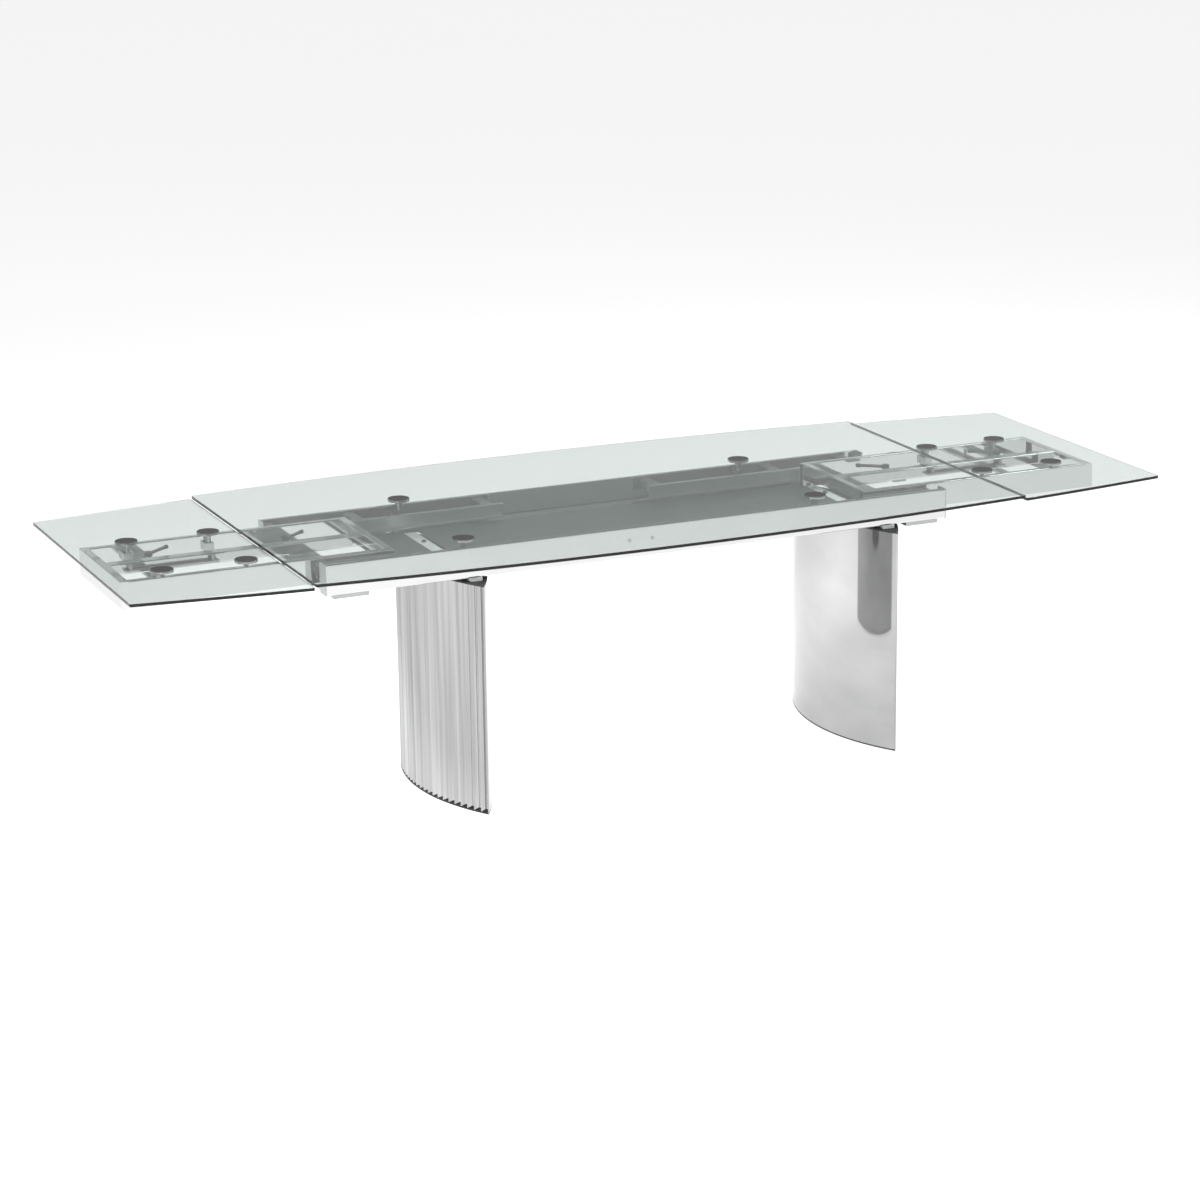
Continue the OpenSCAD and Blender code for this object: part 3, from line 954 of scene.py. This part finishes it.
@dataclass
class Leg:
    """A lens-shaped column: a pleated outer face and a smooth inner face."""

    palette: Palette
    end: End
    pleats: int = 27
    pleat_depth: float = 0.013
    fold_sharpness: float = 0.985
    sheet: float = 0.0015
    samples_per_pleat: int = 24
    smooth_columns: int = 128

    def __post_init__(self) -> None:
        """Works the lens out of the base plate's box."""
        low, high = box_of(f"{self.end.word}_leg_base_plate")
        self.centre_x = float(low[0] + high[0]) / 2
        self.half_width = float(high[1] - low[1]) / 2
        self.sagitta = float(high[0] - low[0]) / 2
        self.radius = (self.half_width**2 + self.sagitta**2) / (2 * self.sagitta)
        self.reach = math.asin(self.half_width / self.radius)
        skin_low, skin_high = box_of(f"{self.end.word}_leg_mirror_skin")
        self.z0, self.z1 = float(skin_low[2]), float(skin_high[2])

    def arc_sheet(self, name: str, angle: Array, pull: Array, side: int) -> bpy.types.Object:
        """A sheet that stands on an arc of the lens.

        A point at angle a lies at (side (r cos a - r + sagitta), r sin a), with r the
        radius less the pull at a.

        Args:
            name: The piece's name.
            angle: Angles along the arc.
            pull: How far each lies inside the arc.
            side: -1 or 1, the side of the lens that it is on.

        Returns:
            The new object.
        """
        heights = np.linspace(self.z0, self.z1, 5)

        def face(depth: float) -> Array:
            """The curve one depth inside the arc, in plan.

            Args:
                depth: How far inside, in metres.

            Returns:
                An n by 2 array of places in plan.
            """
            r = self.radius - pull
            out = side * (r * np.cos(angle) - self.radius + self.sagitta)
            plan = np.column_stack([out, r * np.sin(angle)])
            ahead = np.gradient(plan, axis=0)
            ahead /= np.linalg.norm(ahead, axis=1)[:, None]
            plan = plan + side * np.column_stack([-ahead[:, 1], ahead[:, 0]]) * depth
            return plan + np.array([self.centre_x, 0.0])

        rings = [np.concatenate([face(0.0), face(self.sheet)[::-1]])]
        count = len(rings[0])
        points = np.concatenate([np.column_stack([rings[0], np.full(count, z)]) for z in heights])
        walls = grid_faces(len(heights), count, wrap=True)
        half = np.arange(count // 2 - 1)
        strip = np.column_stack([half, half + 1, count - 2 - half, count - 1 - half])
        quads = np.concatenate([walls, strip, strip + count * (len(heights) - 1)])
        return outward(make_mesh(name, points, quads))

    def pleated(self) -> None:
        """The outer face: its pull is a triangle wave with slightly rounded folds.

        The wave is the arcsine of a sine times a number just under one, so a number
        nearer to one gives a sharper fold.
        """
        count = self.pleats * self.samples_per_pleat + 1
        angle = np.linspace(-self.reach, self.reach, count)
        phase = (angle + self.reach) / (2 * self.reach) * self.pleats
        swing = np.arcsin(self.fold_sharpness * np.cos(2 * math.pi * phase))
        pull = self.pleat_depth * (0.5 - 0.5 * swing / math.asin(self.fold_sharpness))
        name = f"{self.end.word}_leg_pleated_skin"
        piece = self.arc_sheet(f"{name}_folded", angle, pull, self.end.value)
        # The pleated skin's steel paints reflection stripes in upright streaks.
        stand_for(piece, "frame", self.palette.column, name, sharp=70.0)

    def mirror(self) -> None:
        """The inner face: one smooth arc."""
        angle = np.linspace(-self.reach, self.reach, self.smooth_columns)
        name = f"{self.end.word}_leg_mirror_skin"
        piece = self.arc_sheet(f"{name}_rolled", angle, np.zeros(len(angle)), -self.end.value)
        # The smooth face's steel is a darker copy of the mirror steel, painting shade.
        stand_for(piece, "frame", self.palette.column_smooth, name)

    def build(self) -> None:
        """Builds the skins and dresses the rest of the leg."""
        self.pleated()
        self.mirror()
        word = self.end.word
        nodes = frame["nodes"]
        dress(nodes[f"{word}_leg_core"], self.palette.plywood)
        # The black base and top plates also paint the shade at the leg's foot and top.
        dress(nodes[f"{word}_leg_base_plate"], self.palette.plate_black)
        dress(nodes[f"{word}_leg_top_plate"], self.palette.plate_black)
        dress(nodes[f"{word}_leg_glides"], self.palette.glide)


# --------------------------------------------------------------------- leaves


@dataclass
class Extension:
    """One extension frame with its lift and levers."""

    palette: Palette
    end: End
    tube_round: float = 0.003
    tube_wall: float = 0.002
    lever_radius: float = 0.0045
    knob_radius: float = 0.006

    def rails(self) -> None:
        """Builds the rails of the extension frame as round-edged tubes."""
        word = self.end.word
        body = f"{word}_leaf_frame"
        runs = {"side_rails": Along.LENGTH, "middle_rail": Along.LENGTH, "inner_rail": Along.WIDTH}
        self.end_channel(body)
        for part, along in runs.items():
            node = f"{word}_{part}"
            tubes = [
                tube(f"{node}_{n}", low, high, along, self.tube_round, self.tube_wall)
                for n, (low, high) in enumerate(islands(node))
            ]
            stand_for(join(f"{node}_tube", tubes), body, self.palette.mirror, node)

    def end_channel(self, body: str) -> None:
        """Builds the end rail: a channel that is open to the middle, with closed ends.

        Its section is a rounded rectangle's outer half joined to the same half one
        wall further in, and a plate of the full section closes each end.

        Args:
            body: The body that carries it.
        """
        node = f"{self.end.word}_end_rail"
        low, high = box_of(node)
        side = self.end.value
        outer, inner = (float(high[0]), float(low[0])) if side > 0 else (float(low[0]), float(high[0]))
        z0, z1, r, wall = float(low[2]), float(high[2]), self.tube_round, self.tube_wall
        turn = np.linspace(0.0, math.pi / 2, 5)
        lower = np.column_stack([outer - side * (r - r * np.sin(turn)), z0 + r - r * np.cos(turn)])
        upper = np.column_stack([outer - side * (r - r * np.cos(turn)), z1 - r + r * np.sin(turn)])
        web = outer - side * wall
        hollow = [[inner, z1], [inner, z1 - wall], [web, z1 - wall], [web, z0 + wall], [inner, z0 + wall]]
        channel = np.concatenate([[[inner, z0]], lower, upper, hollow])
        plate = np.concatenate([[[inner, z0]], lower, upper, [[inner, z1]]])
        y0, y1 = float(low[1]), float(high[1])
        spans = ((channel, y0 + wall, y1 - wall), (plate, y0, y0 + wall), (plate, y1 - wall, y1))
        pieces = [bar(f"{node}_{n}", shape, Along.WIDTH, a, b) for n, (shape, a, b) in enumerate(spans)]
        stand_for(join(f"{node}_channel", pieces), body, self.palette.mirror, node)

    def lever(self, node: str, body: str, joint: str) -> None:
        """Builds a lever: a hub and a turned rod with a rounded, thicker end.

        The rod is turned upright, then laid flat and swung to the direction from the
        pivot to the far corner of the node's box.

        Args:
            node: The lever's node.
            body: The body that carries it.
            joint: The joint that it turns on.
        """
        low, high = box_of(node)
        facts = next(j for j in frame["joints"] if j["name"] == joint)
        pivot = np.array(facts["pos_m"])
        far = np.where(np.abs(high - pivot) > np.abs(low - pivot), high, low)[:2] - pivot[:2]
        z = (float(low[2]) + float(high[2])) / 2
        hub_half = (float(high[2]) - float(low[2])) / 2
        hub_radius = float(np.min(np.minimum(np.abs(high - pivot), np.abs(low - pivot))[:2]))
        swing = math.atan2(float(far[1]), float(far[0]))
        length = 0.088
        bead = np.linspace(0.0, math.pi / 2, 6)
        k, r = self.knob_radius, self.lever_radius
        rod = np.concatenate([
            [[0.0, 0.004], [r, 0.004], [r, length - 0.016], [k - 0.0006, length - 0.014]],
            np.column_stack([k * np.cos(bead), length - k + k * np.sin(bead)]),
        ])
        rod[-1, 0] = 0.0
        chamfer = 0.001
        hub = np.array([
            [0.0, z - hub_half], [hub_radius - chamfer, z - hub_half], [hub_radius, z - hub_half + chamfer],
            [hub_radius, z + hub_half - chamfer], [hub_radius - chamfer, z + hub_half], [0.0, z + hub_half],
        ])
        arm = lathe(f"{node}_rod", rod, (0.0, 0.0), 64)
        lay = Matrix.Translation(Vector((pivot[0], pivot[1], z))) @ Matrix.Rotation(swing, 4, "Z")
        arm.data.transform(lay @ Matrix.Rotation(math.pi / 2, 4, "Y"))
        boss = lathe(f"{node}_hub", hub, (float(pivot[0]), float(pivot[1])), 64)
        stand_for(join(f"{node}_turned", [arm, boss]), body, self.palette.lever_black, node)

    def build(self) -> None:
        """Builds the rails and levers and dresses the rest."""
        self.rails()
        word = self.end.word
        self.lever(f"{word}_lift_lever", f"{word}_lift_handle", f"{word}_lift_turn")
        self.lever(f"{word}_lock_lever", f"{word}_lock_handle", f"{word}_lock_turn")
        p = self.palette
        finishes = {
            "moving_runners": p.satin_long, "post_guides": p.satin_up, "screw_bridge": p.satin_cross,
            "lift_yoke": p.satin_long, "lift_screw": p.satin_up, "lock_pillar": p.satin_up,
        }
        for part, finish in finishes.items():
            dress(frame["nodes"][f"{word}_{part}"], finish)


# --------------------------------------------------------------------- studio


@dataclass(frozen=True)
class SoftLamp:
    """A square lamp: its name, place and side in metres, and its power in watts."""

    name: str
    place: tuple[float, float, float]
    size: float
    power: float


@dataclass
class Studio:
    """Camera, pale floor and soft white light."""

    camera_place: tuple[float, float, float] = (-3.769, -8.456, 3.064)
    yaw: float = 23.89
    pitch: float = 15.71
    roll: float = -0.69
    lens: float = 103.4
    floor_half: float = 30.0
    # A spot for a painted pool of light on the floor (centre in plan, then reach), the floor's even glow, and
    # the glow that the painted pool adds.
    floor_spot: tuple[float, float, float] = (-0.6, 1.0, 1.7)
    floor_glow: float = 0.8
    pool_glow: float = 0.8
    ceiling: tuple[tuple[float, float], ...] = (
        (0.50, 1.0), (0.56, 0.80), (0.62, 0.42), (0.78, 0.20), (1.0, 0.10),
    )
    aim: tuple[float, float, float] = (0.0, 0.0, 0.4)
    lamps: tuple[SoftLamp, ...] = (
        SoftLamp("key_softbox", (-2.5, -3.0, 5.0), 4.0, 260.0),
        SoftLamp("fill_softbox", (4.0, 2.0, 4.5), 3.0, 120.0),
    )

    def camera(self) -> None:
        """Makes the camera.

        Yaw turns the view from +Y towards +X, pitch tips it down and roll turns the
        picture about its centre.
        """
        yaw, pitch, roll = (math.radians(v) for v in (self.yaw, self.pitch, self.roll))
        forward = Vector((math.sin(yaw) * math.cos(pitch), math.cos(yaw) * math.cos(pitch), -math.sin(pitch)))
        right = Vector((math.cos(yaw), -math.sin(yaw), 0.0))
        up = right.cross(forward)
        right_r = right * math.cos(roll) + up * math.sin(roll)
        up_r = up * math.cos(roll) - right * math.sin(roll)
        turn = Matrix((right_r, up_r, -forward)).transposed().to_4x4()
        data = bpy.data.cameras.new("camera")
        data.lens = self.lens
        data.sensor_width = 36.0
        data.clip_end = 200.0
        eye = bpy.data.objects.new("camera", data)
        eye.matrix_world = Matrix.Translation(Vector(self.camera_place)) @ turn
        bpy.context.scene.collection.objects.link(eye)
        bpy.context.scene.camera = eye

    def floor(self) -> None:
        """A pale floor that glows evenly, with a painted pool of light added: a spherical gradient that
        brightens the glow round one spot.
        """
        h = self.floor_half
        corners = np.array([[-h, -h, 0.0], [h, -h, 0.0], [h, h, 0.0], [-h, h, 0.0]])
        plane = make_mesh("studio_floor", corners, [(0, 1, 2, 3)])
        shader = Shader("studio_floor")
        cloud = shader.noise((0.3, 0.3, 0.3), 1.0)
        shader.tint(cloud, (0.49, 0.49, 0.49), (0.51, 0.51, 0.51))
        shader.set(Roughness=0.9, Specular_IOR_Level=0.0)
        # Painted pool of light: a spherical gradient round this spot brightens the floor's glow.
        spot = self.floor_spot
        middle = (-spot[0] / spot[2], -spot[1] / spot[2], 0.0)
        where = shader.node("ShaderNodeMapping", Vector=shader.place(), Location=middle)
        where.inputs["Scale"].default_value = (1.0 / spot[2],) * 3
        gradient = shader.node(
            "ShaderNodeTexGradient", {"gradient_type": "SPHERICAL"}, Vector=where.outputs[0]
        )
        painted_light_pool = shader.value(gradient)
        glow = (painted_light_pool * self.pool_glow + self.floor_glow).socket
        lit = shader.node("ShaderNodeCombineXYZ", X=glow, Y=glow, Z=glow)
        shader.set(Emission_Color=lit.outputs[0], Emission_Strength=1.0)
        dress(plane, shader.material)

    def world(self) -> None:
        """White walls near the horizon that fade to a dim ceiling.

        The height of the view direction, from -1 to 1, is brought to 0 to 1 and goes
        through a ramp of grey levels.
        """
        world = bpy.data.worlds.new("studio")
        bpy.context.scene.world = world
        world.use_nodes = True
        tree = world.node_tree
        height = tree.nodes.new("ShaderNodeSeparateXYZ")
        tree.links.new(tree.nodes.new("ShaderNodeTexCoord").outputs["Generated"], height.inputs[0])
        ramp = tree.nodes.new("ShaderNodeValToRGB")
        Shader.set_stops(ramp, self.ceiling)
        tree.links.new((Value(tree, height.outputs["Z"]) * 0.5 + 0.5).socket, ramp.inputs[0])
        tree.links.new(ramp.outputs[0], tree.nodes["Background"].inputs["Color"])

    def lamp(self, soft: SoftLamp) -> None:
        """Hangs a soft square lamp and aims it at the table.

        Args:
            soft: What to hang.
        """
        data = bpy.data.lights.new(soft.name, "AREA")
        data.size = soft.size
        data.energy = soft.power
        lamp = bpy.data.objects.new(soft.name, data)
        direction = Vector(self.aim) - Vector(soft.place)
        turn = direction.to_track_quat("-Z", "Y").to_matrix().to_4x4()
        lamp.matrix_world = Matrix.Translation(Vector(soft.place)) @ turn
        bpy.context.scene.collection.objects.link(lamp)

    def build(self) -> None:
        """Sets the studio up."""
        self.floor()
        self.world()
        for soft in self.lamps:
            self.lamp(soft)
        bpy.context.scene.view_settings.view_transform = "Standard"


def main() -> None:
    """Builds the studio and every sub-assembly, in order."""
    logging.basicConfig(level=logging.INFO, format="%(name)s: %(message)s")
    studio = Studio()
    studio.camera()
    studio.build()
    palette = Palette()
    GlassTop(palette).build()
    GlassSupports(palette).build()
    MainFrame(palette).build()
    for end in End:
        Leg(palette, end).build()
        Extension(palette, end).build()


if __name__ == "__main__":
    main()
